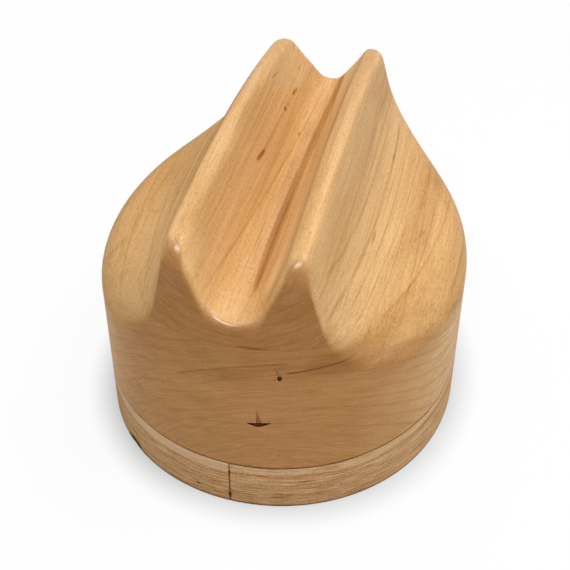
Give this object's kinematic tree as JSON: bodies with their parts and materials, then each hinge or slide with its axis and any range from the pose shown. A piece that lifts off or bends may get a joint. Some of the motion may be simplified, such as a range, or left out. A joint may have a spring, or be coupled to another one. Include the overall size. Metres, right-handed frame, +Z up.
{
  "type": "hat block",
  "caption": "Wooden hat block with a creased western crown: ridges along both sides of a centre crease, side shelves, an oval wall, a plywood base and a stand socket.",
  "frame": {"origin": "centre of the base's underside, in the middle of the head oval", "axes": "+Z up from the underside, +Y along the ridges towards the narrower end of the oval, +X across the oval"},
  "size_m": [0.1732, 0.198, 0.15],
  "materials": {
    "alder_lower": "clear satin finish, long grain on the shelves and end grain at both ends",
    "alder_ridge": "clear satin finish, long grain along the ridges",
    "birch_plywood": "sanded plywood edge under a thin clear finish",
    "zinc_plated_steel": "bright zinc plating"
  },
  "bodies": {
    "root": {"crown_lower_board": "alder_lower", "crown_ridge_board": "alder_ridge", "base_left_half": "birch_plywood", "base_right_half": "birch_plywood", "base_screw_1": "zinc_plated_steel", "base_screw_2": "zinc_plated_steel", "base_screw_3": "zinc_plated_steel", "base_screw_4": "zinc_plated_steel", "base_screw_5": "zinc_plated_steel", "base_screw_6": "zinc_plated_steel", "base_screw_7": "zinc_plated_steel", "base_screw_8": "zinc_plated_steel"}
  },
  "joints": []
}
